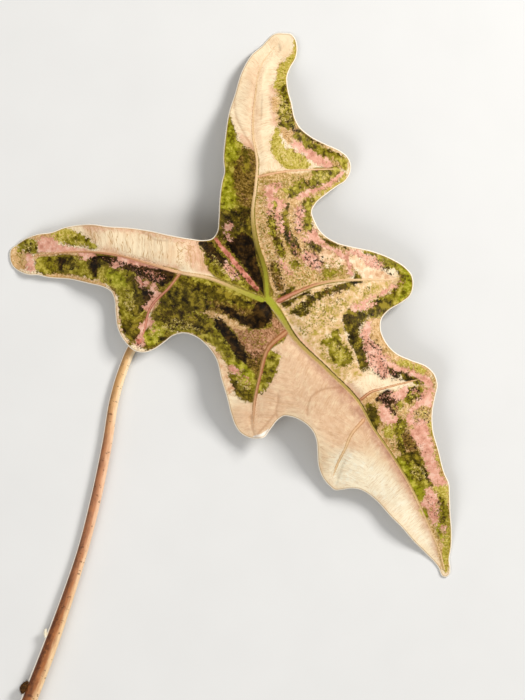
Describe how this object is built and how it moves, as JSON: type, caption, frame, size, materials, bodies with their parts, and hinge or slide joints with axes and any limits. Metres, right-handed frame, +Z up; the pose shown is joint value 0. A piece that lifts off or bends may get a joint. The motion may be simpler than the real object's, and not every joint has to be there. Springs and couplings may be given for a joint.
{
  "type": "alocasia nobilis leaf",
  "caption": "Arrow-shaped variegated leaf with lobed, toothed margins, lying face up on its lobe tips with its curved stalk beneath and beside it.",
  "frame": {"origin": "middle of the leaf's box, on the surface it lies on", "axes": "+Z up, out of the leaf's upper face; +Y towards the upper lobe's tip; -Y along the stalk; +X towards the toothed right margin"},
  "size_m": [0.1986, 0.318, 0.0219],
  "materials": {
    "blade": "satin",
    "petiole": "satin"
  },
  "bodies": {
    "root": {"blade": "blade", "petiole": "petiole"}
  },
  "joints": []
}
